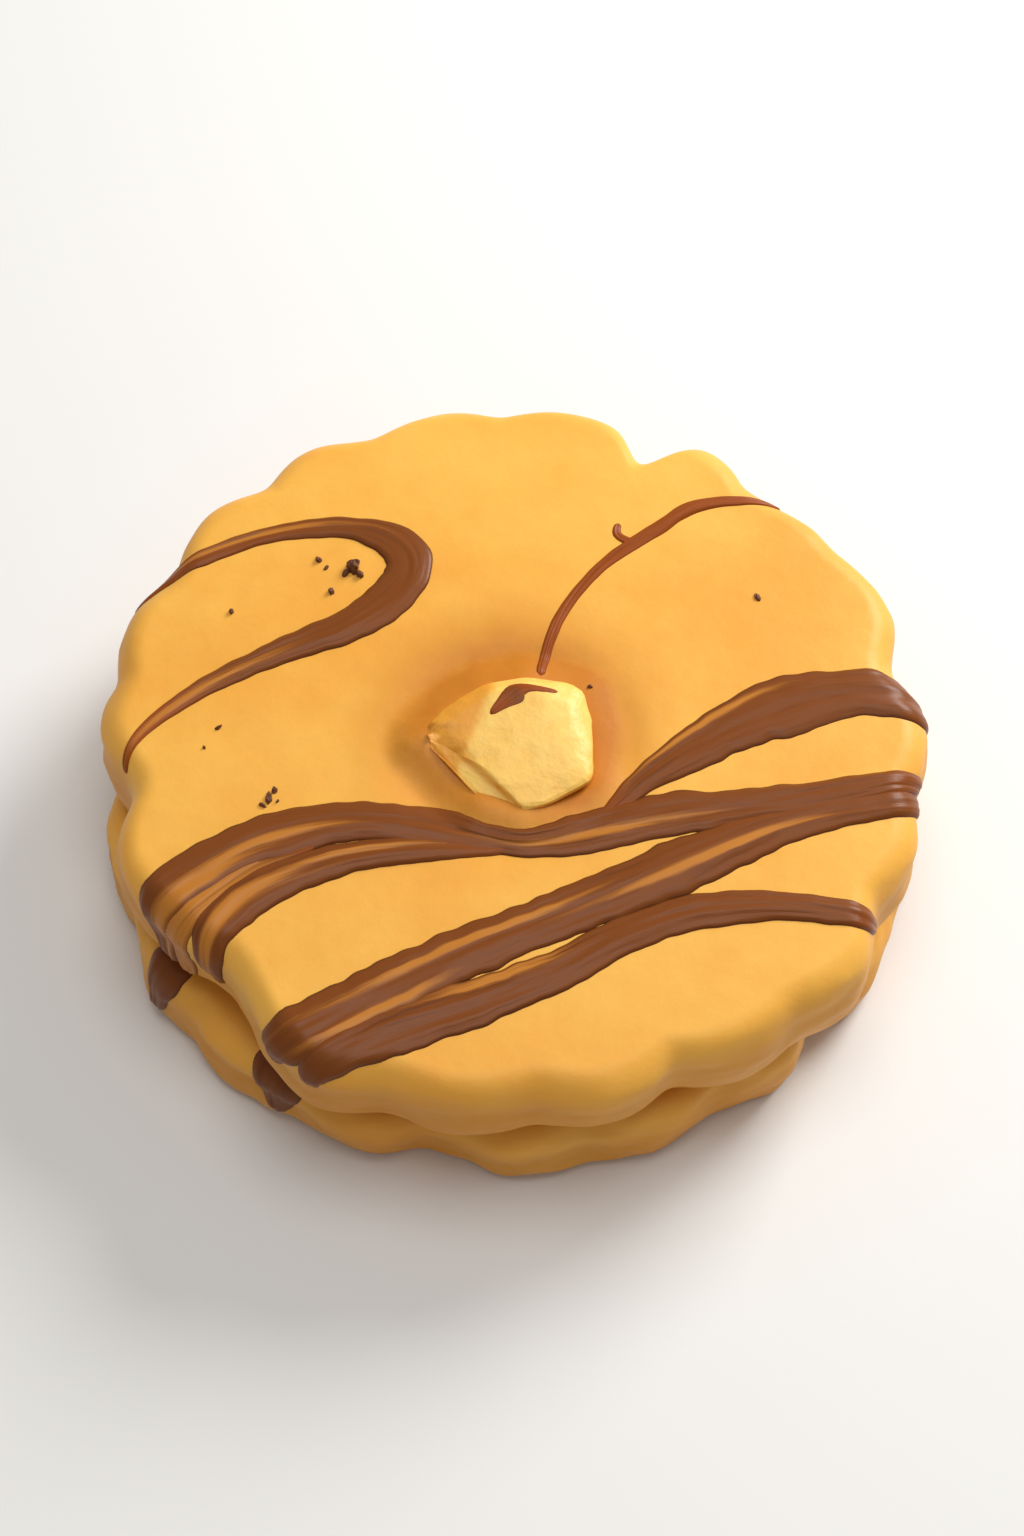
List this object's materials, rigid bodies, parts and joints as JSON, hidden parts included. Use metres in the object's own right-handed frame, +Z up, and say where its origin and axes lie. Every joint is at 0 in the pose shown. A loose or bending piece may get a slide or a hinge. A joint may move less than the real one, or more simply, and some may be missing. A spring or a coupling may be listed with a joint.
{
  "type": "iced sandwich biscuit",
  "caption": "Round fluted sandwich biscuit coated in caramel icing, with poured chocolate strands over the top and a broken piece of nut in a dip at the middle.",
  "frame": {"origin": "middle of the biscuit's plan, on the flat underside it rests on", "axes": "+Z up through the biscuit; -Y is the side nearest the viewer of the picture, +X is to the viewer's right"},
  "size_m": [0.0748, 0.0742, 0.0207],
  "materials": {
    "base_icing": "smooth caramel icing with a satin sheen, a few chocolate runs down the side",
    "filling": "soft brown cream filmed over by icing",
    "top_icing": "smooth caramel icing with a satin sheen, crossed by streaky satin chocolate strands",
    "nut": "pale broken nut filmed with icing"
  },
  "bodies": {
    "root": {"base_biscuit": "base_icing", "filling": "filling", "top_biscuit": "top_icing", "nut": "nut"}
  },
  "joints": []
}
